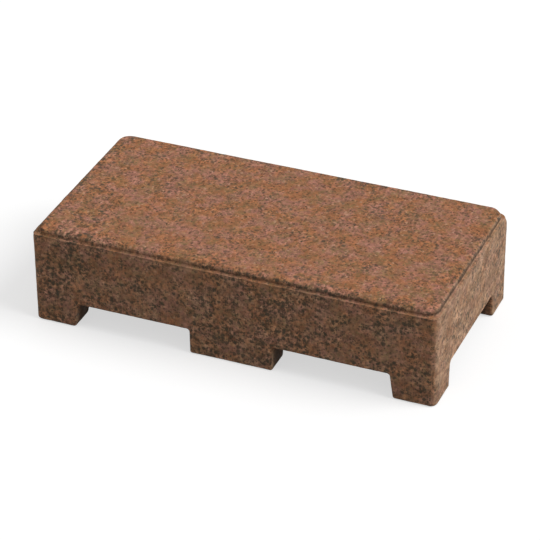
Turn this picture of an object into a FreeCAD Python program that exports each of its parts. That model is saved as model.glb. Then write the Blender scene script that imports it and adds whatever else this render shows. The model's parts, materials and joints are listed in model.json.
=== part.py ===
"""Composite paver: one moulded piece, a slab with a rounded cap on six feet.

Millimetres. The origin is the middle of the footprint at ground level:
X runs along the length, Y across the width, Z up.
"""

import FreeCAD
import Part
import os
import Sketcher

NODE = "paver"

# alias, value, what the size is
SIZES = (
    ("length", 200.0, "overall length, along X"),
    ("width", 100.0, "overall width, along Y"),
    ("height", 50.0, "overall height, ground to top face"),
    ("corner_radius", 3.5, "upright outer corners of the slab"),
    ("ledge_width", 1.4, "narrow ledge that runs round the cap"),
    ("cap_height", 3.1, "ledge up to the top face"),
    ("cap_corner_radius", 6.5, "upright corners of the cap"),
    ("crown_radius", 2.6, "rounded edge of the top face"),
    ("foot_height", 12.5, "ground up to the underside of the slab"),
    ("foot_width", 20.5, "each foot at its root, inwards from the long side"),
    ("corner_foot_length", 22.8, "corner foot at its root, inwards from the short side"),
    ("mid_foot_length", 42.0, "foot at the middle of the long side, at its root"),
    ("side_draft", 5.0, "degrees that the flanks facing the middle lean"),
    ("corner_foot_draft", 8.0, "degrees that a corner foot's flank on the long side leans"),
    ("mid_foot_draft", 1.0, "degrees that a middle foot's flanks lean"),
    ("foot_corner_radius", 7.0, "upright inner corners of the feet"),
    ("root_radius", 1.2, "hollow where a foot meets the slab"),
    ("arris_radius", 1.5, "outer edges of the feet and lower edge of the slab"),
    ("sole_radius", 1.2, "edge round the sole of each foot, less than its arris"),
)

TOLERANCE = 1e-4


def make_sheet(doc):
    """The spreadsheet of driving sizes: one alias, value and note to a row."""
    sheet = doc.addObject("Spreadsheet::Sheet", "Sizes")
    for row, (alias, value, note) in enumerate(SIZES, start=1):
        sheet.set(f"A{row}", alias)
        sheet.set(f"B{row}", str(value))
        sheet.set(f"C{row}", note)
        sheet.setAlias(f"B{row}", alias)
    doc.recompute()
    return sheet


def origin_plane(body, role):
    """One of the body's own origin planes."""
    return next(item for item in body.Origin.OriginFeatures if item.Role == role)


def four_sided(body, name, role, bottom, top, offset="0"):
    """A sketched figure with a level bottom and top, each a level, a left and a right.

    role names the plane that it lies on and offset is its height above that plane.
    All of them are expressions.
    """
    sketch = body.newObject("Sketcher::SketchObject", name)
    sketch.AttachmentSupport = [(origin_plane(body, role), "")]
    sketch.MapMode = "FlatFace"
    sketch.setExpression("AttachmentOffset.Base.z", offset)

    guess = 10.0
    corners = [FreeCAD.Vector(x, y, 0) for x, y in ((0, 0), (guess, 0), (guess, guess), (0, guess))]
    for start, end in zip(corners, corners[1:] + corners[:1]):
        sketch.addGeometry(Part.LineSegment(start, end), False)
    lines = range(len(corners))
    for line, following in zip(lines, (1, 2, 3, 0)):
        sketch.addConstraint(Sketcher.Constraint("Coincident", line, 2, following, 1))
    bottom_line, _, top_line, _ = lines
    for line in (bottom_line, top_line):
        sketch.addConstraint(Sketcher.Constraint("Horizontal", line))

    # each line is held at its start (1) or end (2), measured from the sketch's origin
    held = (
        ("bottom_level", "DistanceY", bottom_line, 1, bottom[0]),
        ("bottom_left", "DistanceX", bottom_line, 1, bottom[1]),
        ("bottom_right", "DistanceX", bottom_line, 2, bottom[2]),
        ("top_level", "DistanceY", top_line, 1, top[0]),
        ("top_right", "DistanceX", top_line, 1, top[2]),
        ("top_left", "DistanceX", top_line, 2, top[1]),
    )
    for label, kind, line, point, expression in held:
        index = sketch.addConstraint(Sketcher.Constraint(kind, -1, 1, line, point, guess))
        sketch.renameConstraint(index, label)
        sketch.setExpression(f"Constraints.{label}", expression)
    return sketch


def rectangle(body, name, half_length, half_width, offset="0"):
    """A rectangle about the Z axis, level with the ground."""
    return four_sided(
        body, name, "XY_Plane",
        bottom=(f"-({half_width})", f"-({half_length})", half_length),
        top=(half_width, f"-({half_length})", half_length),
        offset=offset)


def pad(body, name, sketch, length):
    """A pad straight up from a sketch."""
    feature = body.newObject("PartDesign::Pad", name)
    feature.Profile = sketch
    feature.setExpression("Length", length)
    body.Document.recompute()
    return feature


def channel(body, name, section):
    """A channel cut right through the piece, both ways from the plane of its section."""
    before = body.Tip.Shape.Volume
    feature = body.newObject("PartDesign::Pocket", name)
    feature.Profile = section
    feature.Type = "ThroughAll"
    feature.SideType = "Symmetric"
    body.Document.recompute()
    if not feature.Shape.Volume < before:
        raise ValueError(f"{name} cuts nothing")
    return feature


def mirror(body, name, feature, role):
    """A feature repeated on the other side of an origin plane."""
    copy = body.newObject("PartDesign::Mirrored", name)
    copy.Originals = [feature]
    copy.MirrorPlane = (origin_plane(body, role), [""])
    body.Tip = copy
    body.Document.recompute()
    return copy


def fillet(body, name, wanted, radius):
    """Round those edges of the solid so far that the test picks out."""
    base = body.Tip
    names = [f"Edge{i}" for i, edge in enumerate(base.Shape.Edges, start=1) if wanted(edge.BoundBox)]
    if not names:
        raise ValueError(f"{name} finds no edges")
    feature = body.newObject("PartDesign::Fillet", name)
    feature.Base = (base, names)
    feature.setExpression("Radius", radius)
    body.Document.recompute()
    return feature


def near(a, b):
    return abs(a - b) < TOLERANCE


def level(box, z):
    """True for an edge that lies flat at height z."""
    return near(box.ZMin, z) and near(box.ZMax, z)


def upright(box):
    """True for an edge that rises more than it runs, plumb or leaning with the draft."""
    return box.ZLength > max(box.XLength, box.YLength)


def outside(box, sizes):
    """Whether an edge lies in an outer end face, and whether in an outer side face."""
    on_end = near(box.XLength, 0) and near(abs(box.Center.x), sizes.length / 2)
    on_side = near(box.YLength, 0) and near(abs(box.Center.y), sizes.width / 2)
    return on_end, on_side


def make_paver(doc, sizes):
    body = doc.addObject("PartDesign::Body", NODE)
    body.Label = NODE
    ledge_level = "Sizes.height - Sizes.cap_height"

    # the block up to the ledge, and the cap that stands back from it
    outline = rectangle(body, "outline", "Sizes.length / 2", "Sizes.width / 2")
    pad(body, "block", outline, ledge_level)
    cap_outline = rectangle(
        body, "cap_outline",
        "Sizes.length / 2 - Sizes.ledge_width", "Sizes.width / 2 - Sizes.ledge_width",
        offset=ledge_level)
    pad(body, "cap", cap_outline, "Sizes.cap_height")

    # the channels that leave six feet standing: one along X, two across
    side = "Sizes.width / 2 - Sizes.foot_width"
    side_lean = "Sizes.foot_height * tan(Sizes.side_draft)"
    long_section = four_sided(
        body, "long_channel_section", "YZ_Plane",
        bottom=("0", f"-({side} + {side_lean})", f"{side} + {side_lean}"),
        top=("Sizes.foot_height", f"-({side})", side))
    channel(body, "long_channel", long_section)
    mid = "Sizes.mid_foot_length / 2"
    mid_lean = "Sizes.foot_height * tan(Sizes.mid_foot_draft)"
    corner = "Sizes.length / 2 - Sizes.corner_foot_length"
    corner_lean = "Sizes.foot_height * tan(Sizes.corner_foot_draft)"
    cross_section = four_sided(
        body, "cross_channel_section", "XZ_Plane",
        bottom=("0", f"{mid} - {mid_lean}", f"{corner} + {corner_lean}"),
        top=("Sizes.foot_height", mid, corner))
    cross_channel = channel(body, "cross_channel", cross_section)
    mirror(body, "cross_channels", cross_channel, "YZ_Plane")

    # the roundings
    def slab_corner(box):
        return upright(box) and all(outside(box, sizes))

    def cap_corner(box):
        return upright(box) and near(box.ZMax, sizes.height)

    def foot_corner(box):
        return upright(box) and near(box.ZMin, 0) and not any(outside(box, sizes))

    def root(box):
        return level(box, sizes.foot_height) and not any(outside(box, sizes))

    def arris(box):
        on_end, on_side = outside(box, sizes)
        lower = box.ZMax < sizes.foot_height + sizes.root_radius
        return on_end != on_side and lower and not level(box, 0)

    fillet(body, "slab_corners", slab_corner, "Sizes.corner_radius")
    fillet(body, "cap_corners", cap_corner, "Sizes.cap_corner_radius")
    fillet(body, "foot_corners", foot_corner, "Sizes.foot_corner_radius")
    fillet(body, "roots", root, "Sizes.root_radius")
    fillet(body, "arrises", arris, "Sizes.arris_radius")
    fillet(body, "soles", lambda box: level(box, 0), "Sizes.sole_radius")
    fillet(body, "crown", lambda box: level(box, sizes.height), "Sizes.crown_radius")
    return body


def main():
    doc = FreeCAD.newDocument("composite_paver")
    sizes = make_sheet(doc)
    body = make_paver(doc, sizes)
    doc.recompute()
    for item in doc.Objects:
        if {"Invalid", "Error"} & set(item.State):
            raise ValueError(f"{item.Name} failed: {item.State}")
    if body.Shape.isNull() or not body.Shape.isValid():
        raise ValueError(f"{body.Label} has no valid shape")
    os.makedirs("parts", exist_ok=True)
    body.Shape.exportStep(f"parts/{body.Label}.step")


main()
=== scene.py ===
"""Composite paver: the looks of one moulded piece of bonded granulate.

Run as a script. Its panel in the 3D view's sidebar lists the same steps that main() takes.
"""

import json
import math

import bmesh
import bpy
from bpy.props import FloatProperty, FloatVectorProperty, PointerProperty
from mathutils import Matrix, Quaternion, Vector, noise


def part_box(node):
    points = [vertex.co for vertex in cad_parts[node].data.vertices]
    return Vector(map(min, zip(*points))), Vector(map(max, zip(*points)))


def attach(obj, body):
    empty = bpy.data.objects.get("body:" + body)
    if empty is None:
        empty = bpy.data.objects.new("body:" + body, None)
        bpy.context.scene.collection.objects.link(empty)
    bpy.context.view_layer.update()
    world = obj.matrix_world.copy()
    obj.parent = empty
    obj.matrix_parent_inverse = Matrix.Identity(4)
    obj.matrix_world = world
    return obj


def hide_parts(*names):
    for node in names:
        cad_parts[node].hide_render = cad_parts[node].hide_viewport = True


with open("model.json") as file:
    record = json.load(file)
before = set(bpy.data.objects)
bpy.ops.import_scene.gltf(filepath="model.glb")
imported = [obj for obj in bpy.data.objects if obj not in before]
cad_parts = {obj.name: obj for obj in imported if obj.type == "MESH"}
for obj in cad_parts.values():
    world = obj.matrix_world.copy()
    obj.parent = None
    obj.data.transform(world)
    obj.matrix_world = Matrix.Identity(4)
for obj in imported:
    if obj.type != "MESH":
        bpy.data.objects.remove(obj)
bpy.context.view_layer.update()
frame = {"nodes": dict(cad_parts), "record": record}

bl_info = {
    "name": "Composite paver",
    "version": (1, 0, 0),
    "blender": (4, 5, 0),
    "location": "3D View > Sidebar > Paver",
    "description": "Finishes a moulded paver of bonded granulate and lights it",
    "category": "Object",
}

NODE = "paver"
MM = 0.001
LOW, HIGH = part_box(NODE)
HALF = (HIGH - LOW) / 2
TOP = HIGH.z
SHARP_ANGLE = math.radians(48.0)
WORN_TOWARDS = Vector((0.7, 0.7, 0.8))
MOUNTS = {mount["name"]: Vector(mount["pos_m"]) for mount in frame["record"]["mounts"]}
UNDERSIDE = MOUNTS["grid_seat"].z


def length(name, description, default):
    return FloatProperty(
        name=name, description=description, default=default, min=0.0, unit="LENGTH", precision=5)


def share(name, description, default):
    return FloatProperty(
        name=name, description=description, default=default, min=0.0, max=1.0, subtype="FACTOR")


def angle(name, description, degrees):
    return FloatProperty(
        name=name, description=description, default=math.radians(degrees), unit="ROTATION")


def colour(name, description, default):
    return FloatVectorProperty(
        name=name, description=description, default=default, size=3, subtype="COLOR", min=0.0, max=1.0)


class PaverShape(bpy.types.PropertyGroup):
    """Relief of the moulded faces, all of it sunk into them."""

    cell: length("Cell", "Side of the squares that the faces are divided into", 1.25 * MM)
    cap_height: length("Cap height", "Ledge up to the walking face", 3.1 * MM)
    sag: length("Sag", "Depth of the long shallow waves in the faces", 0.22 * MM)
    sag_size: length("Sag size", "Length of those waves", 38.0 * MM)
    grit: length("Grit", "Depth of the gritty relief", 0.16 * MM)
    grit_size: length("Grit size", "Size of the gritty relief", 3.0 * MM)
    ragged: length("Ragged", "How far the ledge and the crown's foot wander", 0.45 * MM)
    ragged_size: length("Ragged size", "Length of each wander", 4.5 * MM)
    corner_wear: length("Corner wear", "How far the ledge's back right corner is worn away", 1.0 * MM)


class PaverFinish(bpy.types.PropertyGroup):
    """Colours and grain of the bonded granulate, with the colour of its painted shade."""

    grain: length("Grain", "Size of one granule", 1.1 * MM)
    clump: length("Clump", "Size of the larger dark granules", 2.0 * MM)
    patch: length("Patch", "Size of the drifts of colour", 10.0 * MM)
    clay: colour("Clay", "Main granule colour", (0.355, 0.141, 0.062))
    rose: colour("Rose", "Second granule colour", (0.318, 0.141, 0.098))
    moss: colour("Moss", "Dull green-brown granules", (0.195, 0.122, 0.053))
    umber: colour("Umber", "Brown granules and the gaps between granules", (0.080, 0.044, 0.024))
    tyre: colour("Tyre black", "Green-black rubber granules", (0.040, 0.036, 0.022))
    # Sand also paints the highlight along the ledge
    sand: colour("Sand", "Palest granules and rubbed edges", (0.50, 0.32, 0.205))
    dust: colour("Dust", "Film of fine dust", (0.385, 0.264, 0.176))
    # painted shade: this dark colour is mixed in where the ledge crease, the end crowns and the underside
    # fall into shade
    painted_shade: colour("Soil", "Dirt in the creases and under the slab", (0.034, 0.020, 0.013))
    brown_share: share("Brown share", "Share of brown granules", 0.19)
    sand_share: share("Sand share", "Share of pale granules", 0.05)
    gap_strength: share("Gap strength", "How dark the gaps between granules are", 0.22)


class PaverStage(bpy.types.PropertyGroup):
    """Floor, light and camera."""

    floor_size: length("Floor size", "Side of the floor", 8.0)
    azimuth: angle("Azimuth", "Camera's turn about the paver", 22.8)
    elevation: angle("Elevation", "Camera's height above the horizon", 32.15)
    roll: angle("Roll", "Camera's turn about its own line of sight", -0.57)
    distance: length("Distance", "Camera to the point it looks at", 1.2570)
    aim_left: length("Aim left", "How far left of the paver's middle the camera looks", 0.67 * MM)
    aim_low: length("Aim low", "How far below the paver's middle the camera looks", 3.3 * MM)
    lens: FloatProperty(name="Lens", description="Focal length", default=178.5, unit="CAMERA")
    key_azimuth: angle("Key azimuth", "Direction of the main light about the paver", 97.0)
    key_elevation: angle("Key elevation", "Height of the main light above the horizon", 44.0)
    key_spread: angle("Key spread", "Apparent size of the main light", 40.0)
    key_level: FloatProperty(name="Key level", description="Main light on the walking face", default=0.56)
    sky_level: FloatProperty(name="Sky level", description="Even light from all round", default=0.46)


# ---------------------------------------------------------------- shape

def ramp(value, low, high):
    """0 below low, 1 above high and smooth between."""
    x = min(max((value - low) / (high - low), 0.0), 1.0)
    return x * x * (3 - 2 * x)


def band(value, middle, reach):
    """1 at the middle, falling smoothly to 0 at reach on either side."""
    return 1.0 - ramp(abs(value - middle), 0.0, reach)


def wander(point, size, seed):
    """Smooth noise from 0 to 1 with features of a given size."""
    return 0.5 + 0.5 * noise.noise(point / size + Vector((seed, -seed, 2 * seed)))


def divided_copy(node, cell):
    """The node's mesh, merged, its flat faces joined up and then cut into square cells."""
    bm = bmesh.new()
    bm.from_mesh(node.data)
    bmesh.ops.remove_doubles(bm, verts=bm.verts, dist=1e-6)
    bmesh.ops.dissolve_limit(bm, angle_limit=math.radians(1.0), verts=bm.verts, edges=bm.edges)
    for axis in (0, 2, 1):
        across = Vector([float(i == axis) for i in range(3)])
        cells = math.ceil(2 * HALF[axis] / cell)
        for i in range(1, cells):
            at = across * (LOW[axis] + 2 * HALF[axis] * i / cells)
            bmesh.ops.bisect_plane(
                bm, geom=bm.verts[:] + bm.edges[:] + bm.faces[:], dist=1e-7, plane_co=at, plane_no=across)
    bm.normal_update()
    return bm


def past_wall(point):
    """How far a point lies past the nearest wall of the slab, below zero inside it."""
    return max(abs(point.x) - HALF.x, abs(point.y) - HALF.y)


def roughen(bm, shape):
    """Sink the faces by waves and grit, let the ledge wander and wear its back right corner."""
    ledge = TOP - shape.cap_height
    moves = {}
    for vert in bm.verts:
        point = vert.co
        sunk = shape.sag * wander(point, shape.sag_size, 3.1)
        sunk += shape.grit * wander(point, shape.grit_size, 7.7)
        at_ledge = band(point.z, ledge, 2.2 * MM) * ramp(past_wall(point), -4.5 * MM, -2.0 * MM)
        sunk += at_ledge * shape.ragged * wander(point, shape.ragged_size, 11.3)
        corner = ramp(min(point.x - HALF.x, point.y - HALF.y), -8.0 * MM, -1.0 * MM)
        worn = shape.corner_wear * corner * band(point.z, ledge, 4.5 * MM)
        moves[vert] = -vert.normal * sunk - WORN_TOWARDS * worn
    for vert, move in moves.items():
        vert.co += move


def zones(point, normal, shape):
    """How strongly each finish shows at a point: crowded black granules, dust, rubbed edges with a painted
    highlight along the ledge, and painted shade in the crease above the ledge, at the end crowns and under
    the slab.
    """
    ledge = TOP - shape.cap_height
    front = ramp(-normal.y, 0.5, 0.9)
    end = ramp(abs(normal.x), 0.5, 0.9)
    side = ramp(abs(normal.y), 0.5, 0.9)
    inset = past_wall(point)
    past_end = abs(point.x) - HALF.x
    on_top = ramp(normal.z, 0.7, 0.95)
    drift = wander(point, 17.0 * MM, 19.0)

    crowded = 0.11 + 0.22 * ramp(drift, 0.35, 0.7) + 0.04 * end + 0.08 * side
    crowded += (0.44 * side + 0.20 * end) * ramp(wander(point, 7 * MM, 53.0), 0.38, 0.68)
    crown_edge = ramp(inset, -9.0 * MM, -1.5 * MM) * ramp(point.z, ledge, TOP)
    crowded += 0.48 * crown_edge * ramp(wander(point, 7 * MM, 23.0), 0.3, 0.7)
    front_middle = front * band(point.x, 14.0 * MM, 42.0 * MM)
    crowded += 0.75 * front_middle * ramp(wander(point, 12 * MM, 29.0), 0.3, 0.75)
    crowded += 0.35 * front * ramp(-point.x, 50.0 * MM, 95.0 * MM) * wander(point, 9 * MM, 31.0)
    crowded += 0.30 * (side - front) * ramp(wander(point, 20 * MM, 37.0), 0.45, 0.8)
    crowded += 0.25 * on_top * ramp(-point.x, 40.0 * MM, 95.0 * MM) * wander(point, 11 * MM, 59.0)

    dust = 0.74 * end + side * (0.14 + 0.34 * drift)
    on_ledge = band(point.z, ledge, 0.7 * MM) * ramp(normal.z, 0.2, 0.9)
    corner = ramp(min(abs(point.x) - HALF.x, abs(point.y) - HALF.y), -6.0 * MM, -2.0 * MM)
    dust += 0.5 * on_ledge * ramp(past_end, -3.0 * MM, -1.0 * MM)
    # painted highlight: pale sand along the up-facing ledge, stronger towards the right; the corner term
    # below is rubbed wear
    rubbed_and_highlight = 0.8 * on_ledge * ramp(point.x, -140.0 * MM, 40.0 * MM)
    rubbed_and_highlight += 0.35 * corner * wander(point, 6 * MM, 41.0)
    # painted shade: a dark band in the crease just above the ledge, stronger towards the right
    painted_shade = ramp(ledge + 1.6 * MM - point.z, -0.9 * MM, 0.8 * MM) * ramp(point.z, ledge - 0.4 * MM, ledge)
    painted_shade *= (1.0 - on_ledge) * (0.35 + 0.45 * wander(point, 5 * MM, 47.0))
    painted_shade *= ramp(point.x, -150.0 * MM, 60.0 * MM)
    # painted shade: a dark band along the foot of the crown at both ends
    end_crown = ramp(past_end, -6.0 * MM, -2.5 * MM) * band(point.z, ledge + 1.2 * MM, 1.8 * MM)
    painted_shade += 0.5 * end_crown * (0.4 + 0.6 * wander(point, 4 * MM, 61.0))
    # painted shade: darker on the faces under the slab, near black inside the outer walls
    below = ramp(UNDERSIDE + 1.0 * MM - point.z, 0.0, 3.0 * MM)
    within = ramp(-inset, 1.5 * MM, 5.0 * MM)
    painted_shade += below * (0.25 * wander(point, 8 * MM, 43.0) + 0.85 * within)
    return {"crowded": crowded, "dusty": dust, "rubbed_and_highlight": rubbed_and_highlight, "painted_shade_amount": painted_shade}


def write_zones(mesh, shape):
    """Keep the strength of each finish and of the painted shade and highlight on the mesh, one number to a
    vertex.
    """
    found = [zones(vert.co, vert.normal, shape) for vert in mesh.vertices]
    for name in found[0]:
        layer = mesh.attributes.new(name, "FLOAT", "POINT")
        layer.data.foreach_set("value", [min(max(values[name], 0.0), 1.0) for values in found])


# ---------------------------------------------------------------- nodes

class Tree:
    """Short ways to place and join nodes in one node tree."""

    across, down = 220, 320
    columns = 8
    mix_factor, mix_first, mix_second, mix_result = 0, 6, 7, 2

    def __init__(self, tree):
        self.tree = tree
        self.tree.nodes.clear()
        self.count = 0

    def add(self, kind, inputs=None, **settings):
        made = self.tree.nodes.new(kind)
        row, column = divmod(self.count, self.columns)
        made.location = (column * self.across, -row * self.down)
        self.count += 1
        for name, value in settings.items():
            setattr(made, name, value)
        for name, value in (inputs or {}).items():
            self.feed(made.inputs[name], value)
        return made

    def feed(self, socket, value):
        if isinstance(value, bpy.types.NodeSocket):
            self.tree.links.new(value, socket)
        elif value is not None:
            socket.default_value = value

    def maths(self, operation, first, second=None, third=None, clamp=False):
        made = self.add("ShaderNodeMath", operation=operation, use_clamp=clamp)
        for socket, value in zip(made.inputs, (first, second, third)):
            self.feed(socket, value)
        return made.outputs[0]

    def vector(self, operation, first, second=None, scale=None):
        made = self.add("ShaderNodeVectorMath", operation=operation)
        self.feed(made.inputs[0], first)
        self.feed(made.inputs[1], second)
        if scale is not None:
            self.feed(made.inputs["Scale"], scale)
        return made.outputs[0]

    def spread(self, value, low, high, to_low=0.0, to_high=1.0):
        """Stretch low..high over to_low..to_high, smooth at both ends."""
        return self.add("ShaderNodeMapRange", {
            "Value": value, "From Min": low, "From Max": high, "To Min": to_low, "To Max": to_high},
            interpolation_type="SMOOTHSTEP").outputs["Result"]

    def mix(self, amount, first, second):
        made = self.add("ShaderNodeMix", data_type="RGBA", clamp_factor=True)
        self.feed(made.inputs[self.mix_factor], amount)
        self.feed(made.inputs[self.mix_first], first)
        self.feed(made.inputs[self.mix_second], second)
        return made.outputs[self.mix_result]

    def noise(self, vector, scale, detail=2.0, roughness=0.5, output="Fac"):
        return self.add("ShaderNodeTexNoise", {
            "Vector": vector, "Scale": scale, "Detail": detail, "Roughness": roughness}).outputs[output]


def new_group(name, inputs, outputs):
    """An empty shader node group with its sockets, and its input and output nodes."""
    group = bpy.data.node_groups.new(name, "ShaderNodeTree")
    tree = Tree(group)
    for label, kind, default in inputs:
        socket = group.interface.new_socket(label, in_out="INPUT", socket_type=kind)
        if default is not None:
            socket.default_value = default
    for label, kind in outputs:
        group.interface.new_socket(label, in_out="OUTPUT", socket_type=kind)
    return tree, tree.add("NodeGroupInput").outputs, tree.add("NodeGroupOutput")


def granulate_group():
    """Bonded granules: two clays in drifts, mossy, brown and pale ones, dark gaps between them."""
    tree, given, result = new_group("granulate", (
        ("Vector", "NodeSocketVector", None),
        ("Grain", "NodeSocketFloat", MM),
        ("Patch", "NodeSocketFloat", 10 * MM),
        ("Clay", "NodeSocketColor", None),
        ("Rose", "NodeSocketColor", None),
        ("Moss", "NodeSocketColor", None),
        ("Umber", "NodeSocketColor", None),
        ("Sand", "NodeSocketColor", None),
        ("Brown Share", "NodeSocketFloat", 0.1),
        ("Sand Share", "NodeSocketFloat", 0.1),
        ("Gap Strength", "NodeSocketFloat", 0.5),
    ), (("Color", "NodeSocketColor"), ("Relief", "NodeSocketFloat"), ("Dark", "NodeSocketFloat")))
    per_grain = tree.maths("DIVIDE", 1.0, given["Grain"])
    per_patch = tree.maths("DIVIDE", 1.0, given["Patch"])

    shake = tree.noise(given["Vector"], tree.maths("MULTIPLY", per_grain, 0.8), 2.0, 0.6, "Color")
    shake = tree.vector("SUBTRACT", shake, (0.5, 0.5, 0.5))
    shake = tree.vector("SCALE", shake, scale=tree.maths("MULTIPLY", given["Grain"], 0.8))
    warped = tree.vector("ADD", given["Vector"], shake)
    cells = tree.add("ShaderNodeTexVoronoi", {"Vector": warped, "Scale": per_grain}, feature="F1")
    gaps = tree.add("ShaderNodeTexVoronoi", {
        "Vector": warped, "Scale": per_grain}, feature="DISTANCE_TO_EDGE")
    chance = tree.add("ShaderNodeSeparateColor", {"Color": cells.outputs["Color"]}).outputs

    drift = tree.noise(given["Vector"], per_patch, 3.0, 0.62)
    elsewhere = tree.vector("ADD", given["Vector"], (0.31, 0.17, 0.43))
    second_drift = tree.noise(elsewhere, per_patch, 2.0, 0.6)
    fine = tree.noise(given["Vector"], tree.maths("MULTIPLY", per_grain, 2.6), 3.0, 0.7)

    tint = tree.mix(tree.spread(drift, 0.38, 0.62), given["Clay"], given["Rose"])
    mossy_grain = tree.spread(chance[1], 0.5, 1.0, 0.0, 0.55)
    mossy = tree.maths("ADD", mossy_grain, tree.spread(second_drift, 0.42, 0.68, 0.0, 0.4))
    tint = tree.mix(mossy, tint, given["Moss"])
    grain_tone = tree.maths("ADD", tree.maths("MULTIPLY", chance[2], 0.56), 0.76)
    fine_tone = tree.spread(fine, 0.3, 0.7, 0.86, 1.14)
    drift_tone = tree.spread(drift, 0.3, 0.7, 0.92, 1.08)
    tone = tree.maths("MULTIPLY", tree.maths("MULTIPLY", grain_tone, fine_tone), drift_tone)
    body = tree.vector("SCALE", tint, scale=tone)

    brown_drift = tree.spread(second_drift, 0.35, 0.65, 1.6, 0.4)
    brown_limit = tree.maths("MULTIPLY", given["Brown Share"], brown_drift)
    brown = tree.maths("MULTIPLY", tree.maths("SUBTRACT", brown_limit, chance[0]), 30.0, clamp=True)
    brown = tree.maths("MULTIPLY", brown, tree.spread(cells.outputs["Distance"], 0.35, 0.70, 1.0, 0.0))
    pale = tree.maths("MULTIPLY", tree.maths("SUBTRACT", given["Sand Share"], chance[1]), 30.0, clamp=True)
    open_gap = tree.spread(gaps.outputs["Distance"], 0.02, 0.20, 1.0, 0.0)
    gap_patches = tree.noise(given["Vector"], tree.maths("MULTIPLY", per_grain, 0.45))
    some_gaps = tree.spread(gap_patches, 0.42, 0.60)
    gap = tree.maths("MULTIPLY", tree.maths("MULTIPLY", open_gap, some_gaps), given["Gap Strength"])

    painted = tree.mix(tree.maths("MULTIPLY", pale, 0.4), body, given["Sand"])
    painted = tree.mix(tree.maths("MULTIPLY", brown, 0.72), painted, given["Umber"])
    painted = tree.mix(gap, painted, given["Umber"])
    dome = tree.spread(gaps.outputs["Distance"], 0.0, 0.35)
    relief = tree.maths("ADD", tree.maths("MULTIPLY", dome, 0.6), tree.maths("MULTIPLY", fine, 0.6))
    tree.feed(result.inputs["Color"], painted)
    tree.feed(result.inputs["Relief"], relief)
    tree.feed(result.inputs["Dark"], tree.maths("MAXIMUM", brown, gap))
    return tree.tree


def clumps_group():
    """Scattered larger granules, thicker on the ground where Amount is high."""
    tree, given, result = new_group("clumps", (
        ("Vector", "NodeSocketVector", None),
        ("Size", "NodeSocketFloat", 2 * MM),
        ("Amount", "NodeSocketFloat", 0.2),
    ), (("Mask", "NodeSocketFloat"),))
    per_size = tree.maths("DIVIDE", 1.0, given["Size"])
    shake = tree.noise(given["Vector"], tree.maths("MULTIPLY", per_size, 1.3), 3.0, 0.6, "Color")
    shake = tree.vector("SUBTRACT", shake, (0.5, 0.5, 0.5))
    shake = tree.vector("SCALE", shake, scale=tree.maths("MULTIPLY", given["Size"], 0.9))
    warped = tree.vector("ADD", given["Vector"], shake)
    cells = tree.add("ShaderNodeTexVoronoi", {"Vector": warped, "Scale": per_size}, feature="F1")
    chance = tree.add("ShaderNodeSeparateColor", {"Color": cells.outputs["Color"]}).outputs
    chosen = tree.maths("MULTIPLY", tree.maths("SUBTRACT", given["Amount"], chance[0]), 12.0, clamp=True)
    inside = tree.spread(cells.outputs["Distance"], 0.30, 0.68, 1.0, 0.0)
    tree.feed(result.inputs["Mask"], tree.maths("MULTIPLY", chosen, inside))
    return tree.tree


def place(tree, group, **values):
    """A group placed in a tree, with its inputs by name, underscores for spaces."""
    made = tree.add("ShaderNodeGroup", node_tree=group)
    for name, value in values.items():
        tree.feed(made.inputs[name.replace("_", " ")], value)
    return made.outputs


def rgba(colour_value):
    return (*colour_value, 1.0)


def zone(tree, name):
    return tree.add("ShaderNodeAttribute", attribute_name=name, attribute_type="GEOMETRY").outputs["Fac"]


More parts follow.
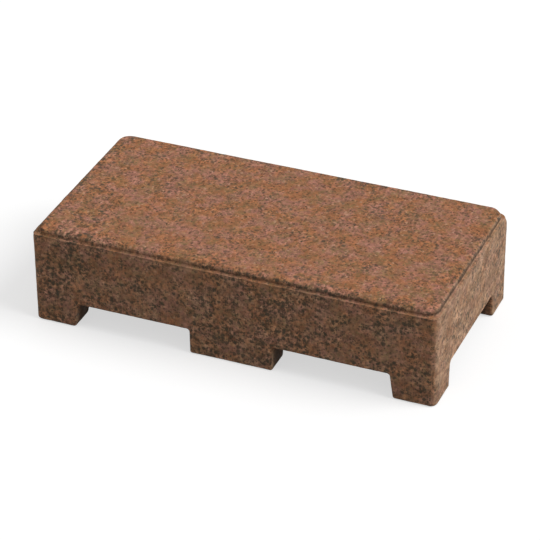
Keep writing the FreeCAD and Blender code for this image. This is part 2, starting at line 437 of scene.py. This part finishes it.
def granulate_material(finish):
    """Matte bonded granulate: granules, black clumps, dusty ends, rubbed edges with a painted highlight
    along the ledge, and painted shade in the creases, at the end crowns and under the slab.
    """
    material = bpy.data.materials.new("bonded_granulate")
    material.use_nodes = True
    tree = Tree(material.node_tree)
    where = tree.add("ShaderNodeTexCoord").outputs["Object"]
    crowded, dusty, rubbed_and_highlight, painted_shade_amount = (
        zone(tree, name) for name in ("crowded", "dusty", "rubbed_and_highlight", "painted_shade_amount"))

    share_here = tree.maths("ADD", finish.brown_share, tree.maths("MULTIPLY", crowded, 0.22))
    grains = place(
        tree, granulate_group(), Vector=where, Grain=finish.grain, Patch=finish.patch,
        Clay=rgba(finish.clay), Rose=rgba(finish.rose), Moss=rgba(finish.moss),
        Umber=rgba(finish.umber), Sand=rgba(finish.sand),
        Brown_Share=share_here, Sand_Share=finish.sand_share, Gap_Strength=finish.gap_strength)
    clumps = clumps_group()
    amount = tree.maths("MULTIPLY", crowded, 0.62)
    large = place(tree, clumps, Vector=where, Size=finish.clump, Amount=amount)
    aside = tree.vector("ADD", where, (0.7, 0.2, 0.5))
    small_amount = tree.maths("ADD", tree.maths("MULTIPLY", amount, 0.8), 0.04)
    small = place(tree, clumps, Vector=aside, Size=finish.clump * 0.5, Amount=small_amount)
    clump_mask = tree.maths("MAXIMUM", large["Mask"], small["Mask"])

    # the end walls are dusty and drawn along by the mould
    stretched = tree.vector("MULTIPLY", where, (1.0, 0.7, 1.0))
    fine_streak = tree.noise(stretched, 1.0 / (1.8 * MM), 2.0, 0.6)
    broad_streak = tree.noise(stretched, 1.0 / (6.5 * MM), 3.0, 0.6)
    streak = tree.maths(
        "ADD", tree.maths("MULTIPLY", fine_streak, 0.55), tree.maths("MULTIPLY", broad_streak, 0.45))
    film = tree.maths("MULTIPLY", dusty, tree.spread(broad_streak, 0.35, 0.65, 0.62, 1.0))
    streak_swing = tree.maths("MULTIPLY", dusty, tree.spread(streak, 0.36, 0.64, -0.42, 0.34))
    streak_tone = tree.maths("ADD", 1.0, streak_swing)

    colour_now = tree.mix(tree.maths("MULTIPLY", film, 0.85), grains["Color"], rgba(finish.dust))
    colour_now = tree.vector("SCALE", colour_now, scale=streak_tone)
    blot = tree.noise(where, 1.0 / (2.4 * MM), 3.0, 0.65)
    blot = tree.maths("MULTIPLY", crowded, tree.spread(blot, 0.34, 0.66, -0.55, 0.75))
    colour_now = tree.vector("SCALE", colour_now, scale=tree.maths("ADD", blot, 1.0))
    clump_strength = tree.spread(crowded, 0.1, 0.6, 0.62, 0.84)
    clumped = tree.maths("MULTIPLY", clump_mask, clump_strength)
    colour_now = tree.mix(clumped, colour_now, rgba(finish.tyre))
    # pale sand where the slab's corners are rubbed, and as a painted highlight along the ledge
    broken = tree.spread(tree.noise(where, 1.0 / (2.2 * MM), 3.0), 0.35, 0.62)
    wear_and_highlight = tree.maths("MULTIPLY", rubbed_and_highlight, broken)
    colour_now = tree.mix(tree.maths("MULTIPLY", wear_and_highlight, 0.45), colour_now, rgba(finish.sand))
    # painted shade: the dark colour darkens the ledge crease, the end crowns and the underside
    colour_now = tree.mix(tree.maths("MULTIPLY", painted_shade_amount, 0.80), colour_now, rgba(finish.painted_shade))

    rough = tree.spread(tree.noise(where, 1.0 / (4.0 * MM), 3.0), 0.3, 0.7, 0.78, 0.95)
    rough = tree.maths("SUBTRACT", rough, tree.maths("MULTIPLY", clump_mask, 0.18))
    height = tree.maths("ADD", grains["Relief"], tree.maths("MULTIPLY", clump_mask, 0.35))
    height = tree.maths("SUBTRACT", height, tree.maths("MULTIPLY", grains["Dark"], 0.35))
    bump = tree.add("ShaderNodeBump", {"Strength": 0.36, "Distance": 0.22 * MM, "Height": height})
    surface = tree.add("ShaderNodeBsdfPrincipled", {
        "Base Color": colour_now, "Roughness": rough, "Normal": bump.outputs["Normal"],
        "Specular IOR Level": 0.2})
    tree.add("ShaderNodeOutputMaterial", {"Surface": surface.outputs["BSDF"]})
    return material


# ---------------------------------------------------------------- stage

WHITE = (1.0, 1.0, 1.0, 1.0)
PAPER = (0.44, 0.44, 0.44, 1.0)
BOUNCE_GREY = (0.26, 0.25, 0.24, 1.0)
PAPER_GLOW = 0.60


def seen_directly(tree):
    """1 where the camera, a reflection or a clear piece looks, 0 where light only bounces."""
    path = tree.add("ShaderNodeLightPath").outputs
    mirrored = tree.maths("MAXIMUM", path["Is Glossy Ray"], path["Is Transmission Ray"])
    return tree.maths("MAXIMUM", path["Is Camera Ray"], mirrored)


def floor_material():
    """Pale to the camera, keeping the paver's shadow, and greyer to the light that bounces off it."""
    material = bpy.data.materials.new("floor_paper")
    material.use_nodes = True
    tree = Tree(material.node_tree)
    seen = seen_directly(tree)
    grey = tree.add("ShaderNodeBsdfDiffuse", {"Color": BOUNCE_GREY}).outputs[0]
    paper = tree.add("ShaderNodeBsdfDiffuse", {"Color": PAPER}).outputs[0]
    glow = tree.add("ShaderNodeEmission", {"Color": WHITE, "Strength": PAPER_GLOW}).outputs[0]
    pale = tree.add("ShaderNodeAddShader")
    tree.feed(pale.inputs[0], paper)
    tree.feed(pale.inputs[1], glow)
    both = tree.add("ShaderNodeMixShader")
    tree.feed(both.inputs[0], seen)
    tree.feed(both.inputs[1], grey)
    tree.feed(both.inputs[2], pale.outputs[0])
    tree.add("ShaderNodeOutputMaterial", {"Surface": both.outputs[0]})
    return material


def light_world(level):
    """An even sky that lights at one level and shows as white."""
    world = bpy.data.worlds.new("studio_sky")
    bpy.context.scene.world = world
    world.use_nodes = True
    tree = Tree(world.node_tree)
    seen = seen_directly(tree)
    sky = tree.add("ShaderNodeBackground", {"Color": WHITE, "Strength": level}).outputs[0]
    white = tree.add("ShaderNodeBackground", {"Color": WHITE, "Strength": 1.0}).outputs[0]
    both = tree.add("ShaderNodeMixShader")
    tree.feed(both.inputs[0], seen)
    tree.feed(both.inputs[1], sky)
    tree.feed(both.inputs[2], white)
    tree.add("ShaderNodeOutputWorld", {"Surface": both.outputs[0]})


def direction(azimuth, elevation):
    """Unit vector from the paver towards something seen at these angles."""
    flat = math.cos(elevation)
    return Vector((math.sin(azimuth) * flat, -math.cos(azimuth) * flat, math.sin(elevation)))


# ---------------------------------------------------------------- operators

class PAVER_OT_body(bpy.types.Operator):
    """Make the moulded piece: divided faces, relief, zones of finish and of painted shade and highlight,
    and the granulate material
    """

    bl_idname = "paver.body"
    bl_label = "Moulded piece"

    def execute(self, context):
        shape = context.scene.paver_shape
        bm = divided_copy(frame["nodes"][NODE], shape.cell)
        roughen(bm, shape)
        mesh = bpy.data.meshes.new("moulded_paver")
        bm.to_mesh(mesh)
        bm.free()
        mesh.shade_smooth()
        mesh.set_sharp_from_angle(angle=SHARP_ANGLE)
        write_zones(mesh, shape)
        piece = bpy.data.objects.new("moulded_paver", mesh)
        context.scene.collection.objects.link(piece)
        mesh.materials.append(granulate_material(context.scene.paver_finish))
        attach(piece, "root")
        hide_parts(NODE)
        return {"FINISHED"}


class PAVER_OT_stage(bpy.types.Operator):
    """Lay the floor, set the lights and place the camera"""

    bl_idname = "paver.stage"
    bl_label = "Stage"

    def execute(self, context):
        scene = context.scene
        stage = scene.paver_stage
        scene.view_settings.view_transform = "Standard"

        bm = bmesh.new()
        bmesh.ops.create_grid(bm, x_segments=1, y_segments=1, size=stage.floor_size / 2)
        mesh = bpy.data.meshes.new("floor")
        bm.to_mesh(mesh)
        bm.free()
        floor = bpy.data.objects.new("floor", mesh)
        mesh.materials.append(floor_material())
        scene.collection.objects.link(floor)

        light_world(stage.sky_level)
        lamp = bpy.data.lights.new("key", "SUN")
        lamp.angle = stage.key_spread
        lamp.energy = math.pi * stage.key_level / math.sin(stage.key_elevation)
        key = bpy.data.objects.new("key", lamp)
        key.rotation_mode = "QUATERNION"
        towards_key = direction(stage.key_azimuth, stage.key_elevation)
        key.rotation_quaternion = towards_key.to_track_quat("Z", "Y")
        scene.collection.objects.link(key)

        camera = bpy.data.objects.new("camera", bpy.data.cameras.new("camera"))
        camera.data.lens = stage.lens
        back = direction(stage.azimuth, stage.elevation)
        level_turn = back.to_track_quat("Z", "Y")
        target = (LOW + HIGH) / 2 - level_turn @ Vector((stage.aim_left, stage.aim_low, 0))
        camera.location = target + back * stage.distance
        camera.rotation_mode = "QUATERNION"
        camera.rotation_quaternion = Quaternion(back, stage.roll) @ level_turn
        scene.collection.objects.link(camera)
        scene.camera = camera
        return {"FINISHED"}


class PAVER_PT_panel(bpy.types.Panel):
    """Steps and settings of the paver"""

    bl_idname = "PAVER_PT_panel"
    bl_label = "Paver"
    bl_space_type = "VIEW_3D"
    bl_region_type = "UI"
    bl_category = "Paver"

    def draw(self, context):
        for operator in OPERATORS:
            self.layout.operator(operator.bl_idname)
        for name, _ in SETTINGS:
            group = getattr(context.scene, name)
            box = self.layout.box()
            for prop in group.bl_rna.properties:
                if prop.identifier not in {"rna_type", "name"}:
                    box.prop(group, prop.identifier)


OPERATORS = (PAVER_OT_body, PAVER_OT_stage)
SETTINGS = (("paver_shape", PaverShape), ("paver_finish", PaverFinish), ("paver_stage", PaverStage))
CLASSES = tuple(kind for _, kind in SETTINGS) + OPERATORS + (PAVER_PT_panel,)


def register():
    for kind in CLASSES:
        bpy.utils.register_class(kind)
    for name, kind in SETTINGS:
        setattr(bpy.types.Scene, name, PointerProperty(type=kind))


def unregister():
    for name, _ in SETTINGS:
        delattr(bpy.types.Scene, name)
    for kind in reversed(CLASSES):
        bpy.utils.unregister_class(kind)


def main():
    register()
    bpy.ops.paver.body()
    bpy.ops.paver.stage()


if __name__ == "__main__":
    main()
